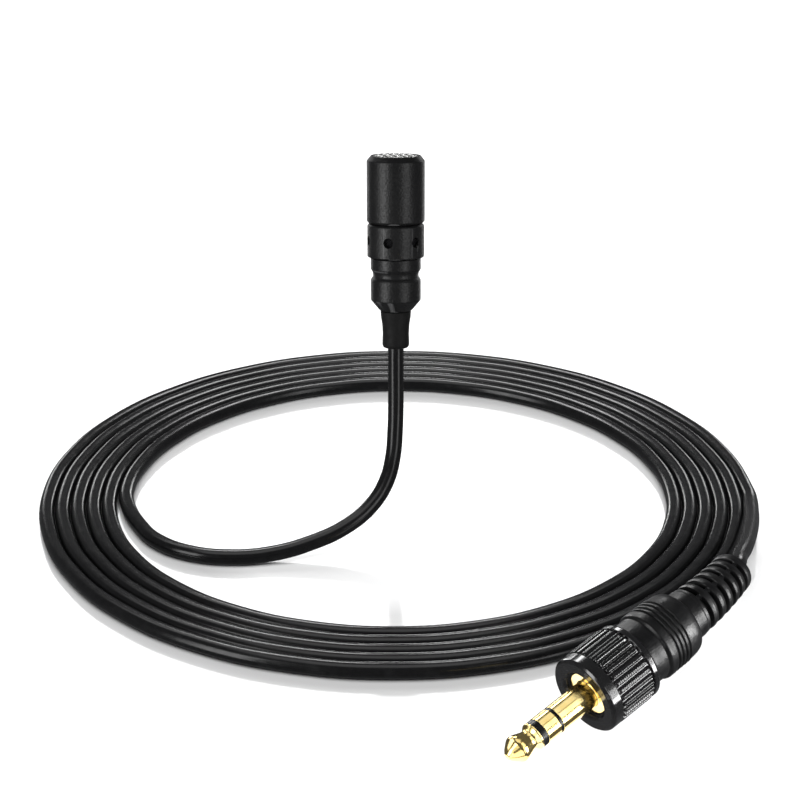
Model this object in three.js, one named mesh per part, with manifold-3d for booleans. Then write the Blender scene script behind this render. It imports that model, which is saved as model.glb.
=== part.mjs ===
// Lavalier microphone: a slim omnidirectional head on a thin cord, wound into a
// flat coil, with a 3.5 mm three-contact plug and its screw-lock nut.
// Millimetres, +Z up. The origin is the centre of the front grille's face.
import * as THREE from "three";
import { mergeVertices } from "three/addons/utils/BufferGeometryUtils.js";
import Module from "manifold-3d";

const wasm = await Module();
wasm.setup();

// ---- driving dimensions ------------------------------------------------

const FLOOR_Z = -52; // the surface that the coil and the plug lie on
const HEAD_LEAN_DEG = 12; // the head leans back, towards +Y
const GAP = 0.1; // clearance between two turned pieces on one axis

const CORD_RADIUS = 1.1;
const COIL_CENTRE = { x: -0.1, y: -1.2 };
const COIL_OUTER_RADIUS = 52.55; // outside of the first turn
const COIL_INNER_RADIUS = 38.1; // inside of the last turn

const CAP_RADIUS = 4;
const CAP_END = -9.25; // along the head, measured back from the grille
const VENT_RING_RADIUS = 3.93;
const VENT_RING_START = -9.35;
const VENT_RING_END = -13.96;
const VENT_HOLE_RADIUS = 0.65;
const VENT_HOLES = 6;
const VENT_FIRST_DEG = -105.4; // first hole, counted from +X about the axis
const BODY_RADIUS = 3.47;
const BODY_END = -21.45;
const HEAD_BOOT_END = -26.75;

const GRILLE_RADIUS = 3.2;
const GRILLE_THICKNESS = 0.5;
const GRILLE_PITCH = 1.1;
const GRILLE_BAR = 0.45;

const PLUG_TIP = { x: 13, y: -71.1, z: -50.42 };
const PLUG_HEADING_DEG = 40.1; // from the tip back to the cord, about +Z from +X
const PLUG_RISE_DEG = 15; // the cord end stands higher than the tip
const CONTACT_RADIUS = 1.75; // 3.5 mm plug
const SHOULDER_Z = 13.4; // seating face of the plug, measured back from the tip
const NUT_START = 12.7;
const NUT_LENGTH = 8.2;
const NUT_RADIUS = 5.1;
const NUT_RIBS = 32;
const GRIP_START = 20.5;
const GRIP_END = 29.4;
const BOOT_START = 29.5;
const BEND_START = 31; // the boot is straight up to here
const BEND_LENGTH = 10.5;
const BEND_DEG = 22;
const CORD_END_IN_PLUG = 26.8;
const CORD_END_IN_HEAD = -17;

// Where the cord goes once it has left the plug's boot, as a direction.
const LEAD_DIRECTION = new THREE.Vector3(0.505, 0.86, 0.074);

const TURNED_SEGMENTS = 32;
const SMALL_SEGMENTS = 20;
const COIL_SEGMENTS = 72;
const CORD_SIDES = 8;

// ---- materials ---------------------------------------------------------

const look = (color, roughness, metalness) =>
  new THREE.MeshStandardMaterial({ color, roughness, metalness });
const blackAluminium = look(0x141415, 0.38, 0.75);
const steelMesh = look(0x9a9a98, 0.32, 1);
const acousticCloth = look(0x1c1c1e, 0.95, 0);
const softRubber = look(0x101011, 0.62, 0);
const cordJacket = look(0x121213, 0.42, 0);
const gold = look(0xd9a83c, 0.2, 1);
const blackInsulator = look(0x0b0b0c, 0.3, 0);
const capsuleSteel = look(0xb9bcbf, 0.28, 1);
const circuitBoard = look(0x1f5a34, 0.5, 0);
const tinned = look(0xb4b0a6, 0.4, 1);
const redInsulation = look(0xa32018, 0.5, 0);
const whiteInsulation = look(0xd9d6cf, 0.5, 0);
const nutPlating = look(0x0e0e0f, 0.18, 0.8);
const mouldedPvc = look(0x161617, 0.48, 0);
const ptfe = look(0xe8e6e0, 0.55, 0);

// ---- shaping helpers ---------------------------------------------------

// A solid turned about Z from [radius, z] points. The outline is closed on
// itself unless it starts and ends on the axis; either direction round is fine.
function turned(outline, segments = TURNED_SEGMENTS) {
  const points = outline.map(([r, z]) => new THREE.Vector2(r, z));
  const onAxis = outline[0][0] === 0 && outline.at(-1)[0] === 0;
  if (!onAxis) points.push(points[0].clone());
  const area = THREE.ShapeUtils.area(points);
  if (area < 0) points.reverse();
  return new THREE.LatheGeometry(points, segments).rotateX(Math.PI / 2);
}

function toManifold(geometry) {
  const bare = geometry.clone();
  bare.deleteAttribute("normal");
  bare.deleteAttribute("uv");
  const merged = mergeVertices(bare, 1e-4);
  return new wasm.Manifold(
    new wasm.Mesh({
      numProp: 3,
      vertProperties: merged.attributes.position.array,
      triVerts: new Uint32Array(merged.index.array),
    }),
  );
}

function toGeometry(manifold) {
  const mesh = manifold.getMesh();
  const geometry = new THREE.BufferGeometry();
  geometry.setAttribute("position", new THREE.BufferAttribute(mesh.vertProperties, 3));
  geometry.setIndex(new THREE.BufferAttribute(mesh.triVerts, 1));
  geometry.computeVertexNormals();
  return geometry;
}

function joined(...geometries) {
  const solids = geometries.map(toManifold);
  return toGeometry(solids.reduce((whole, next) => whole.add(next)));
}

function cut(body, ...tools) {
  const solids = tools.map(toManifold);
  return toGeometry(solids.reduce((whole, tool) => whole.subtract(tool), toManifold(body)));
}

// A rectangular block from its lowest to its highest corner.
function block(low, high) {
  const size = high.map((value, i) => value - low[i]);
  const middle = high.map((value, i) => (value + low[i]) / 2);
  return new THREE.BoxGeometry(...size).translate(...middle);
}

// A round tube of constant radius along a smooth curve through the points.
// A full circle gets two sides for each curve segment.
function tube(points, radius, steps, sides = CORD_SIDES) {
  const section = new THREE.Shape();
  section.absarc(0, 0, radius, 0, 2 * Math.PI);
  return new THREE.ExtrudeGeometry(section, {
    steps,
    curveSegments: sides / 2,
    extrudePath: new THREE.CatmullRomCurve3(points, false, "centripetal"),
  });
}

const vectors = (rows) => rows.map((row) => new THREE.Vector3(...row));

// A radial drill through a wall, used for round vents and for slots.
function radialDrill(radius, innerReach, outerReach, z, angleDeg, stretch = 1) {
  const length = outerReach - innerReach;
  return new THREE.CylinderGeometry(radius, radius, length, 16)
    .scale(1, 1, stretch)
    .rotateZ(-Math.PI / 2)
    .translate(innerReach + length / 2, 0, 0)
    .rotateX(Math.PI / 2)
    .translate(0, 0, z)
    .rotateZ(THREE.MathUtils.degToRad(angleDeg));
}

function around(count, firstDeg, make) {
  return Array.from({ length: count }, (_, i) => make(firstDeg + (i * 360) / count));
}

function place(group, name, geometry, material) {
  const mesh = new THREE.Mesh(geometry, material);
  mesh.name = name;
  group.add(mesh);
}

// ---- microphone head, along its own axis with the grille at z = 0 --------

function headPieces(head) {
  const ledgeTop = -GRILLE_THICKNESS - GAP;
  const threadRadius = 3.35;
  const elementRadius = 3;

  const cap = [
    [GRILLE_RADIUS + GAP, 0],
    [3.42, 0],
    [CAP_RADIUS, -0.7],
    [CAP_RADIUS, -8.95],
    [3.72, CAP_END],
    [threadRadius + GAP, CAP_END],
    [threadRadius + GAP, -5.6],
    [elementRadius + 0.2, -5.4],
    [elementRadius + 0.2, ledgeTop - 0.4],
    [2.85, ledgeTop - 0.4],
    [2.85, ledgeTop],
    [GRILLE_RADIUS + GAP, ledgeTop],
  ];
  place(head, "grille_cap", turned(cap), blackAluminium);
  place(head, "front_grille", grille(), steelMesh);

  const screenTop = ledgeTop - 0.4 - GAP;
  const screen = [[0, screenTop], [elementRadius, screenTop], [elementRadius, screenTop - 0.3], [0, screenTop - 0.3]];
  place(head, "dust_screen", turned(screen, SMALL_SEGMENTS), acousticCloth);

  const gasketTop = screenTop - 0.3 - GAP;
  const gasket = [[1.8, gasketTop], [elementRadius, gasketTop], [elementRadius, gasketTop - 0.5], [1.8, gasketTop - 0.5]];
  place(head, "element_gasket", turned(gasket, SMALL_SEGMENTS), softRubber);

  const elementTop = gasketTop - 0.5 - GAP;
  const elementEnd = elementTop - 2.7;
  const element = [
    [0, elementTop - 0.35],
    [0.9, elementTop - 0.35],
    [0.9, elementTop],
    [elementRadius - 0.15, elementTop],
    [elementRadius, elementTop - 0.15],
    [elementRadius, elementEnd],
    [2.6, elementEnd],
    [2.6, elementEnd + 0.4],
    [0, elementEnd + 0.4],
  ];
  place(head, "microphone_element", turned(element, SMALL_SEGMENTS), capsuleSteel);

  const boardTop = elementEnd + 0.3;
  const boardDisc = [[0, boardTop], [2.5, boardTop], [2.5, boardTop - 0.5], [0, boardTop - 0.5]];
  const pad = (x) =>
    new THREE.CylinderGeometry(0.45, 0.5, 0.25, 12)
      .rotateX(Math.PI / 2)
      .translate(x, 0, boardTop - 0.55);
  const board = joined(turned(boardDisc, SMALL_SEGMENTS), pad(1.1), pad(-1.1));
  place(head, "element_board", board, circuitBoard);

  place(head, "vent_ring", ventRing(threadRadius), blackAluminium);
  place(head, "vent_cloth", ventCloth(), acousticCloth);
  place(head, "rear_body", rearBody(threadRadius, elementEnd), blackAluminium);

  const ferrule = [[1.2, -17.1], [1.75, -17.2], [1.75, -17.7], [1.2, -17.8]];
  place(head, "cord_ferrule", turned(ferrule, SMALL_SEGMENTS), tinned);
  place(head, "head_boot", headBoot(), softRubber);

  const wireEnd = boardTop - 0.75;
  for (const [name, side, material] of [["signal_wire", 1, redInsulation], ["ground_wire", -1, whiteInsulation]]) {
    const route = vectors([
      [0.45 * side, 0, CORD_END_IN_HEAD + 0.2],
      [0.6 * side, 0.5 * side, -14],
      [1.2 * side, 0.4 * side, -10.5],
      [1.1 * side, 0, wireEnd - 1],
      [1.1 * side, 0, wireEnd],
    ]);
    place(head, name, tube(route, 0.3, 16, 6), material);
  }
}

// The face of the grille: crossing bars with a bar crossing at the centre.
function grille() {
  const disc = turned(
    [[0, 0], [GRILLE_RADIUS, 0], [GRILLE_RADIUS, -GRILLE_THICKNESS], [0, -GRILLE_THICKNESS]],
    TURNED_SEGMENTS,
  );
  const hole = GRILLE_PITCH - GRILLE_BAR;
  const reach = GRILLE_RADIUS - GRILLE_BAR;
  const holes = [];
  for (let i = -3; i < 3; i++) {
    for (let j = -3; j < 3; j++) {
      const x = (i + 0.5) * GRILLE_PITCH;
      const y = (j + 0.5) * GRILLE_PITCH;
      const corner = Math.hypot(Math.abs(x) + hole / 2, Math.abs(y) + hole / 2);
      if (corner > reach) continue;
      holes.push(block([x - hole / 2, y - hole / 2, -1], [x + hole / 2, y + hole / 2, 1]));
    }
  }
  return cut(disc, ...holes);
}

// The perforated ring, with a small flat step left under it for a clip to meet.
function ventRing(threadRadius) {
  const bore = threadRadius + GAP;
  const ring = turned([
    [bore, VENT_RING_START],
    [3.7, VENT_RING_START],
    [VENT_RING_RADIUS, VENT_RING_START - 0.25],
    [VENT_RING_RADIUS, VENT_RING_END + 0.12],
    [VENT_RING_RADIUS - 0.12, VENT_RING_END],
    [bore, VENT_RING_END],
  ]);
  const middle = (VENT_RING_START + VENT_RING_END) / 2;
  const drills = around(VENT_HOLES, VENT_FIRST_DEG, (angle) =>
    radialDrill(VENT_HOLE_RADIUS, 2, 6, middle, angle),
  );
  return cut(ring, ...drills);
}

function ventCloth() {
  return turned(
    [[3.1, -9.7], [3.35, -9.7], [3.35, -13.6], [3.1, -13.6]],
    TURNED_SEGMENTS,
  );
}

// The main housing: a threaded spigot that carries the cap and the vent ring,
// slots under the vents, the clip groove, and the cone that meets the boot.
function rearBody(threadRadius, elementEnd) {
  const spigotTop = elementEnd - 1;
  const spigot = 3;
  const body = turned([
    [2.5, spigotTop],
    [threadRadius, spigotTop],
    [threadRadius, -9.3],
    [spigot, -9.5],
    [spigot, -14.06],
    [BODY_RADIUS - 0.1, -14.06],
    [BODY_RADIUS, -14.16],
    [BODY_RADIUS, -15.65],
    [3.25, -15.95],
    [3.14, -16.35],
    [3.16, -16.7],
    [3.38, -17],
    [BODY_RADIUS, -17.2],
    [BODY_RADIUS, -19.95],
    [3.4, -20.12],
    [2.35, -21.25],
    [2.2, BODY_END],
    [1.7, BODY_END],
    [1.7, -18.6],
    [2.5, -18.6],
  ]);
  const middle = (VENT_RING_START + VENT_RING_END) / 2;
  const slots = around(VENT_HOLES, VENT_FIRST_DEG, (angle) =>
    radialDrill(0.6, 2, 3.3, middle, angle, 1.6),
  );
  return cut(body, ...slots);
}

// Rubber strain relief, held in the housing by its inner flange.
function headBoot() {
  return turned([
    [1.25, -17.9],
    [2.4, -17.9],
    [2.4, -18.5],
    [1.6, -18.5],
    [1.6, BODY_END - GAP],
    [2.12, BODY_END - GAP],
    [2.08, -22.3],
    [1.9, -23.4],
    [1.83, -24.7],
    [1.86, -25.6],
    [1.88, -26.3],
    [1.72, -26.65],
    [1.45, HEAD_BOOT_END],
    [1.25, HEAD_BOOT_END],
  ], 24);
}

// ---- cord --------------------------------------------------------------

// The route of the riser and tail: down the head's axis, out of its boot and
// round on the floor to the inside of the coil, which it meets side by side.
function riserRoute() {
  const lean = THREE.MathUtils.degToRad(HEAD_LEAN_DEG);
  const alongHead = (s) => [0, s * Math.sin(lean), s * Math.cos(lean)];
  const onFloor = FLOOR_Z + CORD_RADIUS;
  return vectors([
    alongHead(CORD_END_IN_HEAD),
    alongHead(-20.5),
    alongHead(-24),
    alongHead(-27.5),
    [0, -6.5, -30.4],
    [0, -7.5, -34],
    [-0.1, -8.9, -37.4],
    [-0.4, -10.6, -40.6],
    [-1.3, -12.7, -43.4],
    [-3.3, -15, -45.9],
    [-6.9, -17.4, -48.1],
    [-11.7, -19.2, -49.7],
    [-17.1, -20.5, -50.7],
    [-22.9, -21.1, onFloor],
    [-28.4, -19.9, onFloor],
    [-33.1, -16.6, onFloor],
  ]);
}

// From inside the plug, along its bent boot and down to the top of the coil.
function leadInRoute(plug) {
  const inPlug = [CORD_END_IN_PLUG, 29, BEND_START, 33.6, 36.2, 39, BEND_START + BEND_LENGTH + 0.6];
  const start = inPlug.map((s) => bent(new THREE.Vector3(0, 0, s)).applyMatrix4(plug.matrix));
  const free = vectors([
    [44.23, -38.1, -41.7],
    [45.5, -33.9, -42.8],
    [46.98, -28, -44.5],
    [48.39, -21.6, -46.3],
    [49.63, -15.2, -48.1],
  ]);
  return [...start, ...free];
}

function coil() {
  const top = FLOOR_Z + 2 * CORD_RADIUS;
  const ease = 0.6;
  return turned([
    [COIL_INNER_RADIUS + ease, FLOOR_Z],
    [COIL_OUTER_RADIUS - ease, FLOOR_Z],
    [COIL_OUTER_RADIUS, FLOOR_Z + ease],
    [COIL_OUTER_RADIUS, top - ease],
    [COIL_OUTER_RADIUS - ease, top],
    [COIL_INNER_RADIUS + ease, top],
    [COIL_INNER_RADIUS, top - ease],
    [COIL_INNER_RADIUS, FLOOR_Z + ease],
  ], COIL_SEGMENTS).translate(COIL_CENTRE.x, COIL_CENTRE.y, 0);
}

// ---- plug, along its own axis with the tip at z = 0 ------------------------

function plugPieces(plug) {
  const r = CONTACT_RADIUS;
  const tip = [
    [0, 0], [0.45, 0], [0.95, 0.45], [1.7, 1.45], [r, 1.7], [1.7, 2.05],
    [1.28, 3.3], [1.28, 3.7], [r, 4.2], [r, 4.4], [0.45, 4.4], [0.45, 25], [0, 25],
  ];
  place(plug, "plug_tip", turned(tip, 24), gold);

  // Each contact behind the tip is a band with a tube running back inside the next.
  const contact = (inner, bandStart, bandEnd, tubeOuter, tubeEnd) => [
    [inner, bandStart], [r, bandStart], [r, bandEnd],
    [tubeOuter, bandEnd], [tubeOuter, tubeEnd], [inner, tubeEnd],
  ];
  place(plug, "tip_insulator", turned(contact(0.55, 4.5, 5.15, 0.75, 24), 24), blackInsulator);
  place(plug, "plug_ring", turned(contact(0.85, 5.25, 7.15, 1.05, 23), 24), gold);
  place(plug, "ring_insulator", turned(contact(1.15, 7.25, 7.85, 1.35, 22), 24), blackInsulator);

  const sleeve = [
    [1.45, 7.95], [r, 7.95], [r, SHOULDER_Z], [2.85, SHOULDER_Z], [2.85, SHOULDER_Z + 1],
    [2.2, SHOULDER_Z + 1], [2.2, 21], [1.45, 21],
  ];
  place(plug, "plug_sleeve", turned(sleeve, 24), gold);

  const washerStart = SHOULDER_Z + 1.25;
  const washer = [
    [2.3, washerStart], [2.95, washerStart], [2.95, washerStart + 0.4], [2.3, washerStart + 0.4],
  ];
  place(plug, "nut_washer", turned(washer, 24), ptfe);
  place(plug, "lock_nut", lockNut(), nutPlating);
  place(plug, "plug_grip", plugGrip(), mouldedPvc);
  place(plug, "plug_boot", plugBoot(), mouldedPvc);
  lugs(plug);
}

// The nut turns on the sleeve's neck. Its inner lip is trapped behind the
// shoulder, and its rear skirt covers the nose of the grip.
function lockNut() {
  const end = NUT_START + NUT_LENGTH;
  const knurlStart = NUT_START + 1.7;
  const knurlEnd = end - 1;
  const root = NUT_RADIUS - 0.3;
  const lipStart = SHOULDER_Z + 2;
  const lipEnd = lipStart + 1.3;
  const blank = turned([
    [3.1, NUT_START + 0.3],
    [3.4, NUT_START],
    [4.75, NUT_START],
    [NUT_RADIUS - 0.05, NUT_START + 0.3],
    [NUT_RADIUS - 0.05, knurlStart],
    [root, knurlStart + 0.1],
    [root, knurlEnd - 0.1],
    [NUT_RADIUS - 0.1, knurlEnd],
    [NUT_RADIUS - 0.1, end - 0.35],
    [4.75, end],
    [4.42, end],
    [4.42, lipEnd],
    [2.35, lipEnd],
    [2.35, lipStart],
    [3.1, lipStart],
  ]);
  const outline = new THREE.Shape();
  const step = Math.PI / NUT_RIBS;
  for (let i = 0; i < NUT_RIBS; i++) {
    const middle = 2 * i * step;
    for (const [offset, radius] of [[-0.62, root], [-0.3, NUT_RADIUS], [0.3, NUT_RADIUS], [0.62, root]]) {
      const angle = middle + offset * step;
      const x = radius * Math.cos(angle);
      const y = radius * Math.sin(angle);
      if (i === 0 && offset === -0.62) outline.moveTo(x, y);
      else outline.lineTo(x, y);
    }
  }
  const bore = new THREE.Path();
  bore.absarc(0, 0, root - 0.2, 0, 2 * Math.PI, true);
  outline.holes.push(bore);
  const ribs = new THREE.ExtrudeGeometry(outline, {
    depth: knurlEnd - knurlStart,
    bevelEnabled: false,
    curveSegments: 32,
  }).translate(0, 0, knurlStart);
  return joined(blank, ribs);
}

// The moulded grip: a slim nose under the nut, a ribbed waist and a tapered end.
function plugGrip() {
  const outside = [
    [2.35, GRIP_START],
    [4.1, GRIP_START],
    [4.2, GRIP_START + 0.1],
    [4.2, 23.3],
    [4.55, 23.5],
    [4.55, 24.3],
  ];
  const grooves = 4;
  for (let i = 0; i < grooves; i++) {
    const z = 24.5 + i * 0.65;
    outside.push([4.52, z], [4.32, z + 0.12], [4.32, z + 0.28], [4.5, z + 0.4]);
  }
  outside.push([4.45, 27.2], [4.3, 28.6], [4.05, 29.2], [3.8, GRIP_END]);
  const inside = [[3.35, GRIP_END], [3.35, 21.05], [2.35, 21.05]];
  return turned([...outside, ...inside]);
}

// A point of the straight boot moved to where it is on the bent one. The boot
// bends in its own XZ plane, towards +X.
function bent(point) {
  const angle = THREE.MathUtils.degToRad(BEND_DEG);
  const radius = BEND_LENGTH / angle;
  const past = point.z - BEND_START;
  if (past <= 0) return point;
  const turn = Math.min(past / radius, angle);
  const beyond = Math.max(past - BEND_LENGTH, 0);
  const sin = Math.sin(turn);
  const cos = Math.cos(turn);
  return new THREE.Vector3(
    radius * (1 - cos) + point.x * cos + beyond * sin,
    point.y,
    BEND_START + radius * sin - point.x * sin + beyond * cos,
  );
}

function plugBoot() {
  const rings = 6;
  const pitch = 1.5;
  const outline = [
    [1.3, 28.5],
    [3.25, 28.5],
    [3.25, BOOT_START],
    [3.3, BOOT_START],
    [3.25, 31.6],
  ];
  for (let i = 0; i < rings; i++) {
    const z = 31.8 + i * pitch;
    const radius = 3.12 - 0.06 * i;
    outline.push([radius - 0.5, z], [radius - 0.5, z + 0.45], [radius, z + 0.6], [radius - 0.03, z + 1.3]);
  }
  const end = BEND_START + BEND_LENGTH;
  outline.push([2.2, end - 0.65], [2.1, end - 0.2], [1.8, end], [1.3, end]);
  for (let z = end - 2; z > BEND_START; z -= 2) outline.push([1.3, z]);
  outline.push([1.3, BEND_START]);
  const boot = turned(outline, 24);
  const position = boot.getAttribute("position");
  for (let i = 0; i < position.count; i++) {
    const moved = bent(new THREE.Vector3().fromBufferAttribute(position, i));
    position.setXYZ(i, moved.x, moved.y, moved.z);
  }
  return boot;
}

// Solder lugs behind the contacts, the cord clamp and the two inner leads.
function lugs(plug) {
  const disc = (inner, outer, z) =>
    turned([[inner, z], [outer, z], [outer, z + 0.3], [inner, z + 0.3]], SMALL_SEGMENTS);

  const clampStart = 27;
  const clampRing = turned(
    [[1.25, clampStart], [1.6, clampStart], [1.6, clampStart + 1.2], [1.25, clampStart + 1.2]],
    SMALL_SEGMENTS,
  );
  const strap = block([2.3, -0.7, 21.2], [2.6, 0.7, clampStart + 1]);
  const foot = block([1.4, -0.7, clampStart + 0.3], [2.5, 0.7, clampStart + 0.6]);
  const sleeveLug = joined(disc(1.45, 2.7, 21.15), strap, foot, clampRing);
  place(plug, "sleeve_lug", sleeveLug, tinned);

  const ringLug = joined(disc(1.15, 2, 22.3), block([-0.5, 1.5, 22.35], [0.5, 1.8, 24.4]));
  place(plug, "ring_lug", ringLug, tinned);

  const tipLug = joined(disc(0.55, 1.3, 24.2), block([-0.5, -1.25, 24.25], [0.5, -0.95, 25.9]));
  place(plug, "tip_lug", tipLug, tinned);

  const tipLead = vectors([[0, -0.45, CORD_END_IN_PLUG - 0.2], [0, -0.65, 26.35], [0, -0.6, 26.1], [0, -0.55, 25.6]]);
  place(plug, "tip_lead", tube(tipLead, 0.25, 6, 6), redInsulation);
  const ringLead = vectors([[0, 0.5, CORD_END_IN_PLUG - 0.2], [0, 1.1, 26], [0, 1.25, 25.3], [0, 1.2, 24.6]]);
  place(plug, "ring_lead", tube(ringLead, 0.25, 8, 6), whiteInsulation);
}

// ---- assembly ------------------------------------------------------------

const microphone = new THREE.Group();

const head = new THREE.Group();
head.rotation.x = -THREE.MathUtils.degToRad(HEAD_LEAN_DEG);
microphone.add(head);
headPieces(head);

const plug = new THREE.Group();
const heading = THREE.MathUtils.degToRad(PLUG_HEADING_DEG);
const rise = THREE.MathUtils.degToRad(PLUG_RISE_DEG);
const plugAxis = new THREE.Vector3(
  Math.cos(heading) * Math.cos(rise),
  Math.sin(heading) * Math.cos(rise),
  Math.sin(rise),
);
const bendSide = LEAD_DIRECTION.clone().projectOnPlane(plugAxis).normalize();
const acrossBend = new THREE.Vector3().crossVectors(plugAxis, bendSide);
plug.matrix.makeBasis(bendSide, acrossBend, plugAxis).setPosition(PLUG_TIP.x, PLUG_TIP.y, PLUG_TIP.z);
plug.matrixAutoUpdate = false;
microphone.add(plug);
plugPieces(plug);

place(microphone, "cord_riser", tube(riserRoute(), CORD_RADIUS, 34), cordJacket);
place(microphone, "cord_coil", coil(), cordJacket);
place(microphone, "cord_lead_in", tube(leadInRoute(plug), CORD_RADIUS, 24), cordJacket);

export default microphone;
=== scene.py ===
import math

import bmesh
import bpy
from mathutils import Matrix, Vector


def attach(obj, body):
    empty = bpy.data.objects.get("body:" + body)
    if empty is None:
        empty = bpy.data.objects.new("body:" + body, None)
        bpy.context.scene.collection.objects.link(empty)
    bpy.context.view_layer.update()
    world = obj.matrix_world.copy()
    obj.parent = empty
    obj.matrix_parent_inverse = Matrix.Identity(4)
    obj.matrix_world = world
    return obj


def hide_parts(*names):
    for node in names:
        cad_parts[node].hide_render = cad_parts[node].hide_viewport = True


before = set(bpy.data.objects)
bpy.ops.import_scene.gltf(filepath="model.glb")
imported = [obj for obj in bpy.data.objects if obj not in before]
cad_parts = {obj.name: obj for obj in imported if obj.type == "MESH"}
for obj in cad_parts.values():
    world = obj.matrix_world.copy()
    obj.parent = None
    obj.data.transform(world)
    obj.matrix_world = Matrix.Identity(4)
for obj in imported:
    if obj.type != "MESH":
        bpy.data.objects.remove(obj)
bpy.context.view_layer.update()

# ---- driving dimensions, in millimetres as in the CAD source ----------------

MM = 0.001
FLOOR_Z = -52
HEAD_LEAN_DEG = 12
CORD_RADIUS = 1.1

COIL_CENTRE = (-0.1, -1.2)
COIL_TURNS = 5.5
COIL_FIRST_RADIUS = 51.44     # centre of the cord where the coil starts, by the plug
COIL_PITCH = 2.217            # one cord beside the next
POINTS_A_TURN = 24

PLUG_TIP = (13, -71.1, -50.42)
PLUG_HEADING_DEG = 40.1
PLUG_RISE_DEG = 15
LEAD_DIRECTION = (0.505, 0.86, 0.074)
BEND_START = 31
BEND_LENGTH = 10.5
BEND_DEG = 22

GRILLE_RADIUS = 3.2
VENT_HOLES = 6
VENT_RADIUS = 0.62
VENT_FIRST_DEG = -105.4
VENT_MIDDLE = -11.655
NUT_START = 12.7
NUT_END = 20.9
NUT_RADIUS = 5.1
NUT_RIBS = 32

ROUND = 96                    # faces round a turned piece


# ---- the head's and the plug's own frames -----------------------------------

def head_frame():
    """Along the microphone head, with the grille at z = 0."""
    return Matrix.Rotation(math.radians(-HEAD_LEAN_DEG), 4, "X")


def plug_frame():
    """Along the plug, with the tip at z = 0. The boot bends towards its +X."""
    heading, rise = math.radians(PLUG_HEADING_DEG), math.radians(PLUG_RISE_DEG)
    axis = Vector((
        math.cos(heading) * math.cos(rise),
        math.sin(heading) * math.cos(rise),
        math.sin(rise),
    ))
    lead = Vector(LEAD_DIRECTION)
    side = (lead - axis * lead.dot(axis)).normalized()
    across = axis.cross(side)
    turn = Matrix((side, across, axis)).transposed().to_4x4()
    return Matrix.Translation(Vector(PLUG_TIP) * MM) @ turn


HEAD = head_frame()
PLUG = plug_frame()


def bent(point):
    """A point of the straight boot, in mm, moved to where it is on the bent one."""
    angle = math.radians(BEND_DEG)
    radius = BEND_LENGTH / angle
    past = point.z - BEND_START
    if past <= 0:
        return point
    turn = min(past / radius, angle)
    beyond = max(past - BEND_LENGTH, 0)
    sin, cos = math.sin(turn), math.cos(turn)
    return Vector((
        radius * (1 - cos) + point.x * cos + beyond * sin,
        point.y,
        BEND_START + radius * sin - point.x * sin + beyond * cos,
    ))


# ---- camera -----------------------------------------------------------------

def make_camera():
    data = bpy.data.cameras.new("camera")
    data.lens = 96.05
    data.sensor_width = 36
    data.clip_start = 0.01
    camera = bpy.data.objects.new("camera", data)
    camera.location = (0.000585, -0.28059, 0.08815)
    camera.rotation_euler = (math.radians(66.021), 0, 0)
    bpy.context.scene.collection.objects.link(camera)
    bpy.context.scene.camera = camera


make_camera()


# ---- the cord's route -------------------------------------------------------

def along_head(distance):
    return HEAD.to_3x3() @ Vector((0, 0, distance * MM))


def along_plug(distance):
    return PLUG @ (bent(Vector((0, 0, distance))) * MM)


def coil_points():
    """From the inside turn out to the first one, clockwise from above."""
    count = round(COIL_TURNS * POINTS_A_TURN)
    points = []
    for i in range(count, -1, -1):
        turns = i / POINTS_A_TURN
        radius = COIL_FIRST_RADIUS - COIL_PITCH * turns
        angle = 2 * math.pi * turns
        points.append(Vector((
            COIL_CENTRE[0] + radius * math.cos(angle),
            COIL_CENTRE[1] + radius * math.sin(angle),
            FLOOR_Z + CORD_RADIUS,
        )) * MM)
    return points


def cord_points():
    """From inside the head, down to the floor and round the coil, to inside the plug."""
    riser = [
        (0, -0.0065, -0.0304),
        (0, -0.0075, -0.034),
        (-0.0001, -0.0089, -0.0374),
        (-0.0004, -0.0106, -0.0406),
        (-0.0013, -0.0127, -0.0434),
        (-0.0033, -0.015, -0.0459),
        (-0.0069, -0.0174, -0.0481),
        (-0.0117, -0.0192, -0.0497),
        (-0.0171, -0.0205, -0.0507),
        (-0.0229, -0.0211, -0.0509),
        (-0.0284, -0.0199, -0.0509),
        (-0.0331, -0.0166, -0.0509),
        (-0.0362, -0.0118, -0.0509),
        (-0.03865, -0.0055, -0.0509),
    ]
    lead_in = [
        (0.0512, -0.0047, -0.0506),
        (0.0506, -0.0091, -0.0496),
        (0.04963, -0.0152, -0.0481),
        (0.04839, -0.0216, -0.0463),
        (0.04698, -0.028, -0.0445),
        (0.0455, -0.0339, -0.0428),
        (0.04423, -0.0381, -0.0417),
    ]
    return [
        *[along_head(s) for s in (-17, -20.5, -24, -27.5)],
        *[Vector(p) for p in riser],
        *coil_points(),
        *[Vector(p) for p in lead_in],
        *[along_plug(s) for s in (42.1, 39, 36.2, 33.6, 31, 29, 26.8)],
    ]


def make_cord():
    data = bpy.data.curves.new("cord", "CURVE")
    data.dimensions = "3D"
    data.resolution_u = 8
    data.bevel_depth = CORD_RADIUS * MM
    data.bevel_resolution = 6
    data.use_fill_caps = True
    points = cord_points()
    spline = data.splines.new("BEZIER")
    spline.bezier_points.add(len(points) - 1)
    for knot, point in zip(spline.bezier_points, points):
        knot.co = point
        knot.handle_left_type = knot.handle_right_type = "AUTO"
    cord = bpy.data.objects.new("cord", data)
    bpy.context.scene.collection.objects.link(cord)
    return cord


cord = make_cord()


# ---- materials --------------------------------------------------------------

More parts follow.
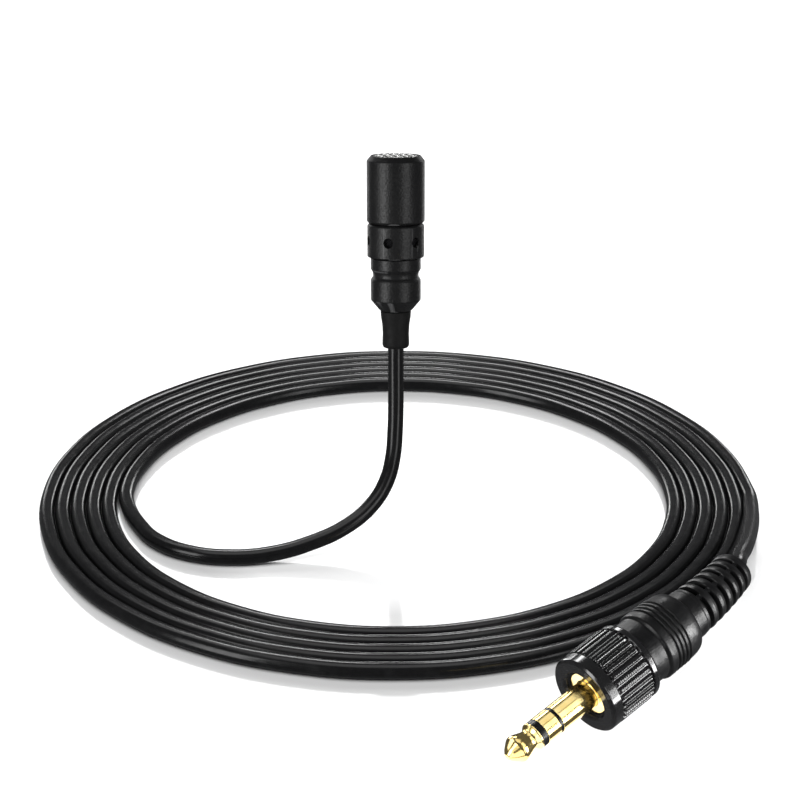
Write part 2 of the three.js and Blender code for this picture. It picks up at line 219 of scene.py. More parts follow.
class Finish:
    """A Principled material with helpers that vary it over the surface."""

    def __init__(self, name, metallic=0.0, coat=0.0, coat_roughness=0.1, specular=0.5):
        self.material = bpy.data.materials.new(name)
        self.material.use_nodes = True
        self.nodes = self.material.node_tree.nodes
        self.links = self.material.node_tree.links
        self.shader = self.nodes["Principled BSDF"]
        self.shader.inputs["Metallic"].default_value = metallic
        self.shader.inputs["Coat Weight"].default_value = coat
        self.shader.inputs["Coat Roughness"].default_value = coat_roughness
        self.shader.inputs["Specular IOR Level"].default_value = specular
        self.place = self.nodes.new("ShaderNodeTexCoord").outputs["Object"]
        self.normal = None

    def noise(self, scale, detail=3.0, stretch=(1, 1, 1)):
        """Noise with cells of about 1 / scale metres."""
        mapping = self.nodes.new("ShaderNodeMapping")
        mapping.inputs["Scale"].default_value = stretch
        texture = self.nodes.new("ShaderNodeTexNoise")
        texture.inputs["Scale"].default_value = scale
        texture.inputs["Detail"].default_value = detail
        self.links.new(self.place, mapping.inputs["Vector"])
        self.links.new(mapping.outputs["Vector"], texture.inputs["Vector"])
        return texture.outputs["Fac"]

    def rings(self, scale, distortion):
        """Fine lines round the local Z axis, as a lathe tool leaves."""
        texture = self.nodes.new("ShaderNodeTexWave")
        texture.bands_direction = "Z"
        texture.inputs["Scale"].default_value = scale
        texture.inputs["Distortion"].default_value = distortion
        texture.inputs["Detail"].default_value = 2
        self.links.new(self.place, texture.inputs["Vector"])
        return texture.outputs["Fac"]

    def distance(self, point):
        """Distance in metres from a point given in mm."""
        node = self.nodes.new("ShaderNodeVectorMath")
        node.operation = "DISTANCE"
        node.inputs[1].default_value = [c * MM for c in point]
        self.links.new(self.place, node.inputs[0])
        return node.outputs["Value"]

    def largest(self, first, second):
        """The larger of two values."""
        node = self.nodes.new("ShaderNodeMath")
        node.operation = "MAXIMUM"
        self.links.new(first, node.inputs[0])
        self.links.new(second, node.inputs[1])
        return node.outputs["Value"]

    def remap(self, value, low, high, out_low=0.0, out_high=1.0):
        node = self.nodes.new("ShaderNodeMapRange")
        node.inputs["From Min"].default_value = low
        node.inputs["From Max"].default_value = high
        node.inputs["To Min"].default_value = out_low
        node.inputs["To Max"].default_value = out_high
        self.links.new(value, node.inputs["Value"])
        return node.outputs["Result"]

    def blend(self, factor, first, second):
        """Mixes two colours, or two colour outputs, by a factor."""
        node = self.nodes.new("ShaderNodeMix")
        node.data_type = "RGBA"
        self.links.new(factor, node.inputs["Factor"])
        for socket, value in ((node.inputs["A"], first), (node.inputs["B"], second)):
            if isinstance(value, tuple):
                socket.default_value = (*value, 1)
            else:
                self.links.new(value, socket)
        return node.outputs["Result"]

    def edges(self, low, high):
        """1 on convex edges, where handling wears the surface; on the anodised head it also places a
        painted highlight along the bevels.
        """
        pointy = self.nodes.new("ShaderNodeNewGeometry").outputs["Pointiness"]
        return self.remap(pointy, low, high)

    def colour(self, value):
        self.links.new(value, self.shader.inputs["Base Color"])

    def roughness(self, value):
        self.links.new(value, self.shader.inputs["Roughness"])

    def bump(self, value, depth):
        """Adds relief of that depth in metres on top of what is there."""
        node = self.nodes.new("ShaderNodeBump")
        node.inputs["Distance"].default_value = depth
        node.inputs["Strength"].default_value = 1
        self.links.new(value, node.inputs["Height"])
        if self.normal is not None:
            self.links.new(self.normal, node.inputs["Normal"])
        self.normal = node.outputs["Normal"]
        self.links.new(self.normal, self.shader.inputs["Normal"])


def anodised_aluminium():
    """Bead-blasted, then anodised black: fine grain, faint turning lines, and pale edges that are
    partly wear and partly a painted highlight on the bevels.
    """
    f = Finish("anodised_aluminium", specular=0.6)
    cloud = f.noise(260, 4)
    dark = f.blend(f.remap(cloud, 0.35, 0.7), (0.004, 0.004, 0.0045), (0.008, 0.008, 0.0085))
    # pale edges: partly handling wear, partly a painted highlight along the bevels
    f.colour(f.blend(f.edges(0.53, 0.64), dark, (0.07, 0.07, 0.072)))
    f.roughness(f.remap(f.noise(2400, 3), 0.3, 0.7, 0.33, 0.45))
    f.bump(f.noise(3600, 2), 0.00005)
    f.bump(f.rings(900, 1.5), 0.000006)
    return f.material


def cord_jacket():
    """Satin extruded jacket: slight mottling, fine grain and a few dull scuffs."""
    f = Finish("cord_jacket_satin")
    scuff = f.remap(f.noise(420, 5), 0.56, 0.72)
    dark = f.blend(f.remap(f.noise(1500, 3), 0.3, 0.7), (0.004, 0.004, 0.0045), (0.008, 0.008, 0.0085))
    f.colour(f.blend(scuff, dark, (0.012, 0.012, 0.0125)))
    f.roughness(f.remap(f.noise(900, 4), 0.3, 0.7, 0.19, 0.27))
    f.bump(f.noise(3800, 3), 0.0000035)
    f.bump(f.noise(300, 2), 0.000010)
    return f.material


def soft_rubber():
    """Matte rubber with a powdery surface."""
    f = Finish("matte_rubber", specular=0.35)
    f.colour(f.blend(f.remap(f.noise(700, 4), 0.3, 0.75), (0.005, 0.005, 0.005), (0.010, 0.010, 0.010)))
    f.roughness(f.remap(f.noise(1800, 3), 0.3, 0.7, 0.55, 0.7))
    f.bump(f.noise(6000, 3), 0.00002)
    return f.material


def moulded_pvc():
    """Satin moulded PVC: soft unevenness, leathery grain and scuffs from handling."""
    f = Finish("moulded_pvc_satin", specular=0.55)
    scuff = f.remap(f.noise(330, 6, (1, 1, 0.35)), 0.55, 0.75)
    dark = f.blend(f.remap(f.noise(900, 3), 0.3, 0.7), (0.004, 0.004, 0.0045), (0.009, 0.009, 0.0095))
    worn = f.blend(scuff, dark, (0.018, 0.018, 0.0185))
    f.colour(f.blend(f.edges(0.55, 0.7), worn, (0.035, 0.035, 0.036)))
    f.roughness(f.remap(f.noise(600, 5), 0.3, 0.7, 0.26, 0.46))
    f.bump(f.noise(4200, 3), 0.000022)
    f.bump(f.noise(520, 3), 0.00009)
    return f.material


def nut_plating():
    """Glossy black plating on a machined nut, rubbed grey on the crests."""
    f = Finish("nut_plating_black", coat=1.0, coat_roughness=0.07, specular=0.8)
    dark = f.blend(f.remap(f.noise(1100, 4), 0.35, 0.7), (0.003, 0.003, 0.0035), (0.007, 0.007, 0.0075))
    f.colour(f.blend(f.edges(0.58, 0.75), dark, (0.05, 0.05, 0.052)))
    f.roughness(f.remap(f.noise(1600, 3), 0.3, 0.7, 0.10, 0.19))
    f.bump(f.rings(2600, 0.8), 0.0000035)
    f.bump(f.noise(5200, 2), 0.000006)
    return f.material


def gold_plate():
    """Polished gold plate over turned brass: fine turning lines, faint tarnish."""
    f = Finish("gold_plate_polished", metallic=1.0)
    tone = f.blend(f.remap(f.noise(420, 4), 0.3, 0.7), (0.93, 0.68, 0.22), (1.0, 0.82, 0.40))
    tarnish = f.remap(f.noise(900, 5, (1, 1, 0.4)), 0.6, 0.78)
    f.colour(f.blend(tarnish, tone, (0.74, 0.50, 0.16)))
    f.roughness(f.remap(f.noise(1300, 4), 0.3, 0.7, 0.08, 0.17))
    f.bump(f.rings(3000, 1.0), 0.000002)
    f.bump(f.noise(1500, 2), 0.000006)
    return f.material


def bright_wire():
    """Drawn stainless wire: bright, with fine drawing marks."""
    f = Finish("bright_wire", metallic=1.0)
    f.colour(f.blend(f.remap(f.noise(1600, 3), 0.3, 0.7), (0.5, 0.5, 0.49), (0.78, 0.78, 0.77)))
    f.roughness(f.remap(f.noise(2600, 3), 0.3, 0.7, 0.18, 0.34))
    f.bump(f.noise(7000, 2, (1, 1, 4)), 0.000006)
    return f.material


def plain_finish(name, first, second, rough, grain, depth, metallic=0.0):
    """A mottled two-tone surface with grain, for the pieces inside."""
    f = Finish(name, metallic=metallic)
    f.colour(f.blend(f.remap(f.noise(grain / 4, 4), 0.3, 0.7), first, second))
    f.roughness(f.remap(f.noise(grain / 2, 3), 0.3, 0.7, rough, rough + 0.15))
    f.bump(f.noise(grain, 3), depth)
    return f.material


def acoustic_cloth():
    """Close black weave: two sets of crossing threads."""
    f = Finish("acoustic_cloth_weave", specular=0.2)
    threads = f.nodes.new("ShaderNodeTexChecker")
    threads.inputs["Scale"].default_value = 5000
    f.links.new(f.place, threads.inputs["Vector"])
    weave = threads.outputs["Fac"]
    f.colour(f.blend(weave, (0.006, 0.006, 0.007), (0.016, 0.016, 0.018)))
    f.roughness(f.remap(f.noise(2500, 3), 0.3, 0.7, 0.85, 0.98))
    f.bump(weave, 0.00003)
    return f.material


def circuit_board():
    """Green solder mask over a lighter ground plane."""
    f = Finish("circuit_board_mask", coat=0.4)
    copper = f.remap(f.noise(900, 2, (1, 0.2, 1)), 0.52, 0.54)
    f.colour(f.blend(copper, (0.01, 0.09, 0.03), (0.03, 0.19, 0.06)))
    f.roughness(f.remap(f.noise(2000, 3), 0.3, 0.7, 0.3, 0.5))
    f.bump(copper, 0.00002)
    return f.material


FINISHES = {
    "anodised_black": anodised_aluminium(),
    "grille_mesh": bright_wire(),
    "acoustic_cloth": acoustic_cloth(),
    "soft_rubber": soft_rubber(),
    "capsule_steel": plain_finish(
        "capsule_steel_brushed", (0.5, 0.5, 0.5), (0.68, 0.68, 0.69), 0.22, 6000, 0.000006, 1.0),
    "circuit_board": circuit_board(),
    "cord_jacket": cord_jacket(),
    "gold_plate": gold_plate(),
    "black_insulator": plain_finish(
        "black_insulator_gloss", (0.006, 0.006, 0.006), (0.014, 0.013, 0.013), 0.18, 5000, 0.000006),
    "slip_washer": plain_finish(
        "slip_washer_ptfe", (0.72, 0.71, 0.68), (0.82, 0.81, 0.78), 0.45, 4000, 0.00001),
    "nut_plating": nut_plating(),
    "moulded_pvc": moulded_pvc(),
    "tinned_metal": plain_finish(
        "tinned_metal_dull", (0.42, 0.41, 0.39), (0.62, 0.61, 0.58), 0.32, 5000, 0.00001, 1.0),
    "red_insulation": plain_finish(
        "red_insulation_pvc", (0.30, 0.015, 0.01), (0.42, 0.03, 0.02), 0.38, 5000, 0.00001),
    "white_insulation": plain_finish(
        "white_insulation_pvc", (0.62, 0.61, 0.58), (0.74, 0.73, 0.70), 0.38, 5000, 0.00001),
}


# ---- shaping helpers --------------------------------------------------------

def fillet(before, corner, after, radius):
    """Points of a round corner, with one more just outside each end to hold the shading."""
    steps = 4
    back, on = (before - corner), (after - corner)
    reach = min(radius, 0.45 * back.length, 0.45 * on.length)
    start, end = corner + back.normalized() * reach, corner + on.normalized() * reach
    curve = []
    for i in range(steps + 1):
        t = i / steps
        curve.append(start * (1 - t) ** 2 + corner * 2 * t * (1 - t) + end * t ** 2)
    hold = 0.06 * reach
    return [start + back.normalized() * hold, *curve, end + on.normalized() * hold]


def rounded(outline, radius=0.06):
    """A closed outline of (radius, z) points in mm with its corners rounded. A third value in a
    point is that corner's own radius. Points on the axis, and nearly straight ones, stay."""
    corners = [Vector(p[:2]) for p in outline]
    points = []
    for i, corner in enumerate(corners):
        own = outline[i][2] if len(outline[i]) > 2 else radius
        before, after = corners[i - 1], corners[(i + 1) % len(corners)]
        straight = (corner - before).angle(after - corner, 0) < math.radians(8)
        if corner.x < 1e-6 or own == 0 or straight:
            points.append(corner)
        else:
            points += fillet(before, corner, after, own)
    return points


def finished(name, build, slot, body="cable_assembly", place=None, replaces=()):
    """Turns a bmesh in metres into a named, shaded piece that rides on its body."""
    bmesh.ops.recalc_face_normals(build, faces=build.faces)
    mesh = bpy.data.meshes.new(name)
    build.to_mesh(mesh)
    build.free()
    mesh.polygons.foreach_set("use_smooth", [True] * len(mesh.polygons))
    mesh.set_sharp_from_angle(angle=math.radians(50))
    piece = bpy.data.objects.new(name, mesh)
    if place is not None:
        piece.matrix_world = place
    bpy.context.scene.collection.objects.link(piece)
    mesh.materials.append(FINISHES[slot])
    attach(piece, body)
    if replaces:
        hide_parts(*replaces)
    return piece


def turned_mesh(outline, segments=ROUND, relief=None, warp=None):
    """A closed outline in mm swept round Z. relief(radius, z, angle) may change the radius at an
    angle, and warp(point) may move a finished point."""
    build = bmesh.new()
    rings = []
    for r, z in outline:
        count = 1 if r < 1e-6 else segments
        ring = []
        for k in range(count):
            angle = 2 * math.pi * k / segments
            radius = relief(r, z, angle) if relief else r
            point = Vector((radius * math.cos(angle), radius * math.sin(angle), z))
            ring.append(build.verts.new((warp(point) if warp else point) * MM))
        rings.append(ring)
    for lower, upper in zip(rings, rings[1:] + rings[:1]):
        for k in range(segments):
            loop = []
            for vertex in (
                lower[k % len(lower)],
                lower[(k + 1) % len(lower)],
                upper[(k + 1) % len(upper)],
                upper[k % len(upper)],
            ):
                if vertex not in loop:
                    loop.append(vertex)
            if len(loop) > 2:
                build.faces.new(loop)
    return build


def turned(name, outline, slot, place, radius=0.06, **options):
    """A round piece from its outline, replacing the CAD node of the same kind."""
    shape = {k: options.pop(k) for k in ("segments", "relief", "warp") if k in options}
    return finished(name, turned_mesh(rounded(outline, radius), **shape), slot, place=place, **options)


def levels(start, end, step):
    """Evenly spaced values from start to end, both included."""
    count = max(1, round(abs(end - start) / step))
    return [start + (end - start) * i / count for i in range(count + 1)]


def smooth(value):
    value = min(1.0, max(0.0, value))
    return value * value * (3 - 2 * value)


# ---- microphone head --------------------------------------------------------

def grille_cap():
    outline = [
        (3.3, 0, 0.05),
        (3.42, 0, 0.05),
        (4, -0.7, 0.1),
        (4, -8.95, 0.12),
        (3.72, -9.25, 0.06),
        (3.45, -9.25, 0.03),
        (3.45, -5.6, 0),
        (3.2, -5.4, 0),
        (3.2, -1, 0),
        (2.85, -1, 0),
        (2.85, -0.6, 0),
        (3.3, -0.6, 0),
    ]
    turned("grille_cap_shell", outline, "anodised_black", HEAD, replaces=["grille_cap"])


def woven_grille():
    """Plain-woven round wires, slightly domed, clamped in a bright rim."""
    pitch, wire = 1.1, 0.22
    reach = GRILLE_RADIUS - 0.2
    low, dome = -0.32, 0.12
    turn = Matrix.Rotation(math.radians(15), 3, "Z")
    build = bmesh.new()

    def height(x, y, along, side):
        wave = 0.21 * math.cos(math.pi * along / pitch) * side
        return low + wave + dome * (1 - (x * x + y * y) / reach ** 2)

    def strand(offset, side, along_y):
        half = math.sqrt(reach ** 2 - offset ** 2)
        over = Vector((1, 0, 0)) if along_y else Vector((0, 1, 0))
        rings = []
        for along in levels(-half, half, 0.07):
            x, y = (offset, along) if along_y else (along, offset)
            centre = Vector((x, y, height(x, y, along, side)))
            ring = []
            for k in range(12):
                angle = 2 * math.pi * k / 12
                point = centre + wire * (over * math.cos(angle) + Vector((0, 0, math.sin(angle))))
                ring.append(build.verts.new(turn @ point * MM))
            rings.append(ring)
        for a, b in zip(rings, rings[1:]):
            for k in range(12):
                build.faces.new((a[k], a[(k + 1) % 12], b[(k + 1) % 12], b[k]))
        build.faces.new(rings[0])
        build.faces.new(rings[-1])

    lines = int(reach / pitch)
    for i in range(-lines, lines + 1):
        even = 1 if i % 2 == 0 else -1
        strand(i * pitch, even, False)
        strand(i * pitch, -even, True)
    finished("woven_grille", build, "grille_mesh", place=HEAD, replaces=["front_grille"])
    rim = [(2.86, -0.5), (3.2, -0.5), (3.2, -0.12), (3.1, -0.03), (2.98, -0.03), (2.86, -0.14)]
    turned("grille_rim", rim, "grille_mesh", HEAD, radius=0.05)


def cut_by(piece, cutters):
    """Cuts the cutters out of a piece's mesh for good, and removes them."""
    for cutter in cutters:
        modifier = piece.modifiers.new("cut", "BOOLEAN")
        modifier.operation = "DIFFERENCE"
        modifier.solver = "EXACT"
        modifier.object = cutter
    bpy.context.view_layer.update()
    graph = bpy.context.evaluated_depsgraph_get()
    mesh = bpy.data.meshes.new_from_object(piece.evaluated_get(graph))
    piece.modifiers.clear()
    old, piece.data = piece.data, mesh
    mesh.name = old.name
    mesh.polygons.foreach_set("use_smooth", [True] * len(mesh.polygons))
    mesh.set_sharp_from_angle(angle=math.radians(40))
    for cutter in cutters:
        bpy.data.objects.remove(cutter)


def drill(place, radius, angle_deg, z):
    """A radial drill with a flared mouth at the ring's outer surface."""
    inner, outer = 2, 4.6
    mouth = radius + 0.14
    outline = [
        (0, inner),
        (radius, inner),
        (radius, 3.76),
        (radius + 0.06, 3.86),
        (mouth, 3.99),
        (mouth, outer),
        (0, outer),
    ]
    build = turned_mesh([Vector(p) for p in outline], 40)
    bmesh.ops.recalc_face_normals(build, faces=build.faces)
    mesh = bpy.data.meshes.new("drill")
    build.to_mesh(mesh)
    build.free()
    cutter = bpy.data.objects.new("drill", mesh)
    aim = Matrix.Rotation(math.radians(angle_deg), 4, "Z") @ Matrix.Rotation(math.pi / 2, 4, "Y")
    cutter.matrix_world = place @ Matrix.Translation((0, 0, z * MM)) @ aim
    bpy.context.scene.collection.objects.link(cutter)
    return cutter


def vent_ring():
    outline = [
        (3.45, -9.35, 0.03),
        (3.7, -9.35, 0.05),
        (3.93, -9.6, 0.1),
        (3.93, -13.84, 0.06),
        (3.81, -13.96, 0.05),
        (3.45, -13.96, 0.03),
    ]
    ring = turned(
        "vent_ring_shell", outline, "anodised_black", HEAD, segments=144, replaces=["vent_ring"])
    step = 360 / VENT_HOLES
    angles = [VENT_FIRST_DEG + i * step for i in range(VENT_HOLES)]
    cut_by(ring, [drill(HEAD, VENT_RADIUS, angle, VENT_MIDDLE) for angle in angles])


def rear_body():
    outline = [
        (2.5, -8.15, 0),
        (3.35, -8.15, 0),
        (3.35, -9.3, 0),
        (3, -9.5, 0),
        (3, -14.06, 0),
        (3.37, -14.06, 0.04),
        (3.47, -14.16, 0.05),
        (3.47, -15.65, 0.15),
        (3.25, -15.95, 0.2),
        (3.14, -16.35, 0.3),
        (3.16, -16.7, 0.2),
        (3.38, -17, 0.12),
        (3.47, -17.2, 0.12),
        (3.47, -19.95, 0.14),
        (2.42, -21.2, 0.15),
        (2.2, -21.45, 0.08),
        (1.7, -21.45, 0.05),
        (1.7, -18.6, 0),
        (2.5, -18.6, 0),
    ]
    turned("rear_body_shell", outline, "anodised_black", HEAD, replaces=["rear_body"])


def head_boot():
    outline = [
        (1.25, -17.9, 0),
        (2.4, -17.9, 0),
        (2.4, -18.5, 0),
        (1.6, -18.5, 0),
        (1.6, -21.55, 0),
        (2.12, -21.55, 0.1),
        (2.08, -22.3, 0.3),
        (1.9, -23.4, 0.5),
        (1.83, -24.7, 0.5),
        (1.86, -25.6, 0.4),
        (1.88, -26.3, 0.25),
        (1.72, -26.65, 0.2),
        (1.45, -26.75, 0.12),
        (1.25, -26.75, 0.05),
    ]
    turned("head_strain_relief", outline, "soft_rubber", HEAD, replaces=["head_boot"])


# ---- plug -------------------------------------------------------------------

def contacts():
    """Tip, ring and sleeve in gold with the two insulators between them."""
    tip = [
        (0, 0), (0.42, 0, 0.15), (0.95, 0.45, 0.2), (1.68, 1.42, 0.25), (1.75, 1.72, 0.15),
        (1.7, 2.05, 0.2), (1.28, 3.3, 0.3), (1.28, 3.7, 0.3), (1.75, 4.18, 0.08),
        (1.75, 4.4, 0.03), (0.45, 4.4, 0), (0.45, 25, 0), (0, 25),
    ]
    turned("contact_tip", tip, "gold_plate", PLUG, replaces=["plug_tip"])
    bands = [
        ("insulator_front", "tip_insulator", "black_insulator", 0.55, 4.42, 5.26, 0.75, 24),
        ("contact_ring", "plug_ring", "gold_plate", 0.85, 5.28, 7.34, 1.05, 23),
        ("insulator_rear", "ring_insulator", "black_insulator", 1.15, 7.36, 7.76, 1.35, 22),
    ]
    for name, node, slot, bore, start, end, tube, tube_end in bands:
        full = 1.72 if slot == "black_insulator" else 1.75
        outline = [
            (bore, start, 0), (full, start, 0.05), (full, end, 0.05), (tube, end, 0),
            (tube, tube_end, 0), (bore, tube_end, 0),
        ]
        turned(name, outline, slot, PLUG, replaces=[node])
    sleeve = [
        (1.45, 7.78, 0), (1.75, 7.78, 0.05), (1.75, 13.4, 0.12), (2.85, 13.4, 0.12),
        (2.85, 14.4, 0.1), (2.2, 14.4, 0), (2.2, 21, 0), (1.45, 21, 0),
    ]
    turned("contact_sleeve", sleeve, "gold_plate", PLUG, replaces=["plug_sleeve"])


def lock_nut():
    """Smooth collar, straight knurl with fine cross cuts, turned rear lip and a threaded mouth."""
    knurl_start, knurl_end = NUT_START + 1.75, NUT_END - 1.05
    root = NUT_RADIUS - 0.34
    cuts = 17

    def relief(radius, z, angle):
        if radius < root - 0.01 or not knurl_start < z < knurl_end:
            return radius
        share = (z - knurl_start) / (knurl_end - knurl_start)
        fade = smooth(min(share, 1 - share) * 16)
        place = (angle * NUT_RIBS / (2 * math.pi)) % 1
        off = abs(place - 0.5) * 2
        ridge = smooth((0.8 - off) / 0.42)
        notch = 0.5 - 0.5 * math.cos(2 * math.pi * (share * cuts + 0.9 * (place - 0.5)))
        return root + (NUT_RADIUS - root) * ridge * fade * (1 - 0.14 * (1 - notch))

    front = rounded([
        (3.1, NUT_START + 0.35, 0.05),
        (3.42, NUT_START, 0.08),
        (4.72, NUT_START, 0.12),
        (5.05, NUT_START + 0.33, 0.12),
        (5.05, knurl_start - 0.1, 0.05),
        (root, knurl_start, 0),
        (root, knurl_start + 1, 0),
    ])
    front = front[1:-1]
    knurl = [Vector((root, z)) for z in levels(knurl_start, knurl_end, 0.05)]
    rear = rounded([
        (root, knurl_end - 0.1, 0),
        (root, knurl_end, 0.02),
        (5.02, knurl_end + 0.1, 0.06),
        (5.02, NUT_END - 0.32, 0.12),
        (4.74, NUT_END, 0.08),
        (4.42, NUT_END, 0.05),
        (4.42, 16.7, 0),
        (2.35, 16.7, 0),
        (2.35, 15.4, 0),
        (3.1, 15.4, 0),
        (3.1, 15.3, 0),
    ])[2:]
    thread = []
    for z in levels(14.9, NUT_START + 0.7, 0.45):
        thread += [Vector((3.1, z + 0.1)), Vector((3.34, z - 0.08)), Vector((3.34, z - 0.14))]
    build = turned_mesh(front + knurl + rear + thread, NUT_RIBS * 12, relief)
    finished(
        "lock_nut_knurled", build, "nut_plating",
        body="locking_nut", place=PLUG, replaces=["lock_nut"])


def plug_grip():
    outline = [
        (2.35, 20.5, 0), (4.1, 20.5, 0.08), (4.2, 20.6, 0.05), (4.2, 23.2, 0.1),
        (4.55, 23.5, 0.15), (4.55, 24.42, 0.1),
    ]
    for i in range(4):
        z = 24.5 + i * 0.65
        outline += [
            (4.53, z, 0.07), (4.3, z + 0.12, 0.05), (4.3, z + 0.28, 0.05), (4.52, z + 0.4, 0.07),
        ]
    outline += [
        (4.46, 27.2, 0.3), (4.32, 28.5, 0.4), (4.12, 29.1, 0.25), (3.75, 29.4, 0.12),
        (3.35, 29.4, 0.04), (3.35, 21.05, 0), (2.35, 21.05, 0),
    ]
    turned("plug_grip_moulding", outline, "moulded_pvc", PLUG, replaces=["plug_grip"])


def plug_boot():
    """A collar and six rings with deep gaps, bridged by two rows of short webs."""
    rings, pitch, first_gap = 6, 1.5, 32.02
    end = BEND_START + BEND_LENGTH
    web_deg, web_half = 142, math.radians(5)

    def ring_radius(z):
        return 3.2 - 0.055 * (z - BEND_START)

    def relief(radius, z, angle):
        if radius < 1.4 or z < first_gap - 0.5 or z > end - 0.6:
            return radius
        gap = min(rings - 1, max(0, round((z - first_gap) / pitch)))
        from_gap = abs(z - first_gap - gap * pitch)
        groove = smooth((0.34 - from_gap) / 0.1)
        turn = (angle - math.radians(web_deg)) % math.pi
        bridge = 1 - smooth((min(turn, math.pi - turn) - web_half) / 0.07)
        crown = 0.05 * smooth((from_gap - 0.34) / 0.4)
        return ring_radius(z) + crown - 0.66 * groove * (1 - 0.7 * bridge)

    root = rounded([
        (3.25, 28.5, 0), (3.25, 29.5, 0), (3.3, 29.5, 0.05), (3.26, 31.1, 0.15), (3.19, 31.25, 0),
    ])
    outside = [Vector((ring_radius(z), z)) for z in levels(31.3, end - 0.62, 0.05)]
    tail = rounded([
        (2.63, end - 0.56, 0), (2.5, end - 0.4, 0.1), (2.15, end - 0.25, 0.1),
        (1.8, end, 0.12), (1.3, end, 0.05), (1.3, end - 0.5, 0),
    ])
    bore = [Vector((1.3, z)) for z in levels(end - 0.6, BEND_START, 0.8)] + [Vector((1.3, 28.5))]
    build = turned_mesh(root + outside + tail + bore, 144, relief, bent)
    finished("plug_strain_relief", build, "moulded_pvc", place=PLUG, replaces=["plug_boot"])


grille_cap()
woven_grille()
vent_ring()
rear_body()
head_boot()
contacts()
lock_nut()
plug_grip()
plug_boot()


# ---- the CAD nodes that show, and the cord ----------------------------------

METAL = ["woven_grille", "contact_tip", "contact_ring", "contact_sleeve", "grille_rim"]
HEAD_PIECES = [
    "grille_cap_shell", "woven_grille", "grille_rim", "vent_ring_shell", "rear_body_shell",
    "head_strain_relief",
]

PLUG_PIECES = [
    "contact_tip", "insulator_front", "contact_ring", "insulator_rear", "contact_sleeve",
    "lock_nut_knurled", "plug_grip_moulding", "plug_strain_relief",
]

KEPT_NODES = {
    "dust_screen": "acoustic_cloth",
    "vent_cloth": "acoustic_cloth",
    "element_gasket": "soft_rubber",
    "microphone_element": "capsule_steel",
    "element_board": "circuit_board",
    "cord_ferrule": "tinned_metal",
    "signal_wire": "red_insulation",
    "ground_wire": "white_insulation",
    "nut_washer": "slip_washer",
    "sleeve_lug": "tinned_metal",
    "ring_lug": "tinned_metal",
    "tip_lug": "tinned_metal",
    "tip_lead": "red_insulation",
    "ring_lead": "white_insulation",
}
for node, slot in KEPT_NODES.items():
    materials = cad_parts[node].data.materials
    materials.clear()
    materials.append(FINISHES[slot])

cord.data.materials.append(FINISHES["cord_jacket"])
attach(cord, "cable_assembly")
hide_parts("cord_riser", "cord_coil", "cord_lead_in")


# ---- floor and light --------------------------------------------------------

def make_floor():
    """A white floor, glossy in a ring under the coil and matt elsewhere. The ring is painted grey as a
    contact shade round the coil, and the disc inside it a paler grey painted shade.
    """
    half = 6
    polish_and_shade_inside, polish_and_shade_outside = (0.029, 0.034), (0.0538, 0.0546)
    lead_place, lead_reach = (58, -22, FLOOR_Z), (0.012, 0.008)
    build = bmesh.new()
    corners = [(-half, -half), (half, -half), (half, half), (-half, half)]
    build.faces.new([build.verts.new((x, y, FLOOR_Z * MM)) for x, y in corners])
    mesh = bpy.data.meshes.new("floor")
    build.to_mesh(mesh)
    build.free()
    floor = bpy.data.objects.new("floor", mesh)
    bpy.context.scene.collection.objects.link(floor)
    f = Finish("floor_white")
    from_centre = f.distance((*COIL_CENTRE, FLOOR_Z))
    under_coil = f.remap(from_centre, *polish_and_shade_inside)
    past_coil = f.remap(from_centre, *polish_and_shade_outside)
    by_lead = f.remap(f.distance(lead_place), *lead_reach)
    outside = f.largest(past_coil, by_lead)
    # painted shade: grey in a ring under the coil and pale grey in the disc inside it, white beyond
    painted_shade_ring = f.blend(f.remap(f.noise(3, 2), 0.3, 0.7), (0.62, 0.62, 0.62), (0.65, 0.65, 0.65))
    painted_shade_area = f.blend(under_coil, (0.84, 0.84, 0.84), painted_shade_ring)
    f.colour(f.blend(outside, painted_shade_area, (0.94, 0.94, 0.94)))
    f.roughness(f.remap(f.noise(8, 2), 0.3, 0.7, 0.08, 0.11))
    f.links.new(f.remap(outside, 0, 1, 1.0, 0.02), f.shader.inputs["Specular IOR Level"])
    mesh.materials.append(f.material)
    floor.visible_glossy = False
    floor.visible_shadow = False
    return floor


def group_of(name, pieces):
    """A collection of the pieces that a light reaches, or that shade it."""
    group = bpy.data.collections.new(name)
    for piece in pieces:
        group.objects.link(piece)
    return group


def softbox(name, only, azimuth, elevation, distance, size, radiance, aim=(0, 0, -0.02)):
    """An area light that reaches one group of pieces, placed on a sphere round the aim. Azimuth 0
    is behind the object, and 90 is to its right."""
    data = bpy.data.lights.new(name, "AREA")
    data.shape = "RECTANGLE"
    data.size, data.size_y = size
    data.energy = radiance * math.pi * size[0] * size[1]
    a, e = math.radians(azimuth), math.radians(elevation)
    towards = Vector((math.sin(a) * math.cos(e), math.cos(a) * math.cos(e), math.sin(e)))
    light = bpy.data.objects.new(name, data)
    light.location = Vector(aim) + towards * distance
    light.rotation_euler = towards.to_track_quat("Z", "Y").to_euler()
    light.visible_camera = False
    light.light_linking.receiver_collection = only
    bpy.context.scene.collection.objects.link(light)
    return light


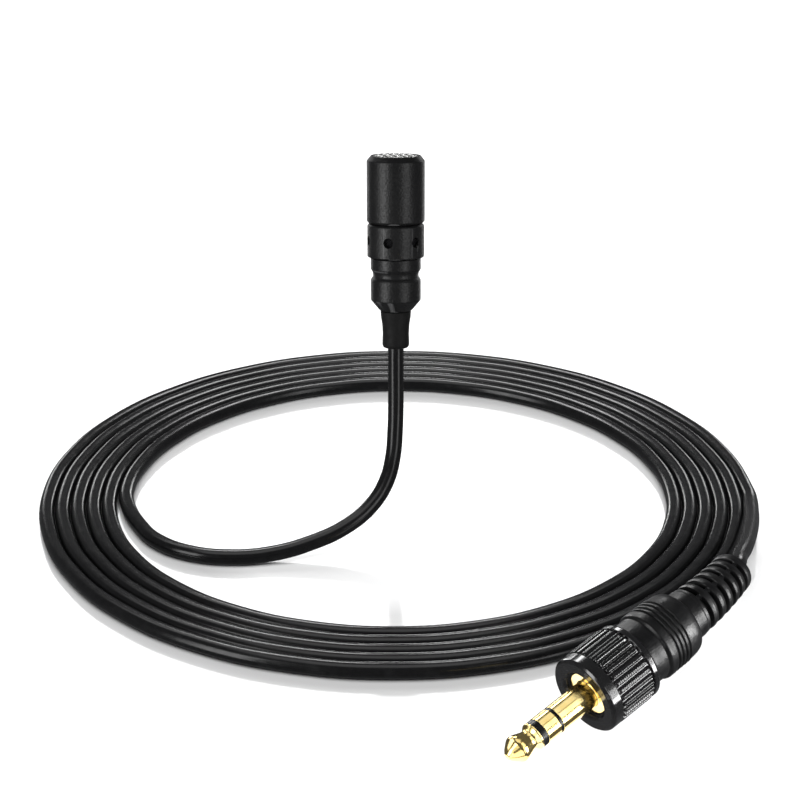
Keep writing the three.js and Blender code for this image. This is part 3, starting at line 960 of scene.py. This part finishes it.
def make_light(floor):
    pieces = {o.name: o for o in bpy.context.scene.objects if o.type in ("MESH", "CURVE")}
    world = bpy.data.worlds.new("studio")
    bpy.context.scene.world = world
    world.use_nodes = True
    background = world.node_tree.nodes["Background"]
    background.inputs["Color"].default_value = (0.97, 0.98, 1, 1)
    background.inputs["Strength"].default_value = 0.12
    on_floor = group_of("lit_floor", [floor])
    on_cord = group_of("lit_cord", [cord])
    on_metal = group_of("lit_metal", [pieces[n] for n in METAL])
    on_object = group_of("lit_object", [p for p in pieces.values() if p is not floor])
    on_rest = group_of("lit_rest", [p for p in pieces.values() if p not in (floor, cord)])
    on_head = group_of("lit_head", [pieces[n] for n in HEAD_PIECES])
    on_plug = group_of("lit_plug", [pieces[n] for n in PLUG_PIECES])
    shading = group_of("shading", [cord] + [pieces[n] for n in HEAD_PIECES])

    for light in (
        softbox("floor_wall", on_floor, 0, 24, 6.0, (8.4, 5.4), 3.8),
        softbox("floor_above", on_floor, 180, 75, 4.3, (4, 4), 4.4),
    ):
        light.light_linking.blocker_collection = shading

    softbox("cord_low", on_cord, 1, 5.5, 0.118, (0.022, 0.014), 6.8, aim=(0, 0, -0.05))
    softbox("cord_high", on_cord, -2, 42, 0.213, (0.11, 0.036), 11.0, aim=(0, -0.045, -0.05))
    softbox("cord_top_left", on_cord, -38, 54, 1.3, (0.5, 0.4), 1.6)
    softbox("cord_top_right", on_cord, 38, 54, 1.3, (0.5, 0.4), 1.4)
    softbox("cord_side_left", on_cord, -25, 8, 1.3, (0.28, 0.18), 4.2)
    softbox("cord_side_right", on_cord, 25, 8, 1.3, (0.28, 0.18), 4.2)
    softbox("cord_above", on_cord, 180, 82, 1.3, (1.2, 0.9), 1.1)

    softbox("front_left", on_object, 230, 8, 0.9, (0.34, 0.8), 3.6)
    softbox("front_right", on_object, 137, 8, 0.9, (0.28, 0.8), 2.1)
    softbox("rim_left", on_head, -30, -4, 1.2, (0.4, 0.9), 1.3)
    softbox("rim_right", on_head, 30, -4, 1.2, (0.4, 0.9), 1.3)
    softbox("back_high", on_rest, -16, 37, 1.3, (0.5, 0.32), 7.0)
    softbox("plug_back_left", on_plug, -27, 6, 1.4, (0.6, 0.55), 6.2)
    softbox("plug_right", on_plug, 105, 3, 1.0, (0.32, 0.55), 15.0)
    softbox("metal_below", on_metal, 0, -88, 0.6, (1.2, 1.2), 2.0)
    softbox("metal_above", on_metal, 0, 88, 1.0, (0.9, 0.9), 0.9)
    softbox("metal_left", on_metal, 280, 27, 0.7, (0.5, 0.4), 2.2)
    softbox("metal_low", on_metal, 185, -20, 0.6, (0.5, 0.4), 1.8)
    softbox("metal_right", on_metal, 112, 42, 1.0, (0.6, 0.6), 1.9)
    softbox("metal_front", on_metal, 225, 6, 0.8, (0.7, 0.5), 1.2)
    bpy.context.scene.view_settings.view_transform = "Standard"


floor = make_floor()
make_light(floor)
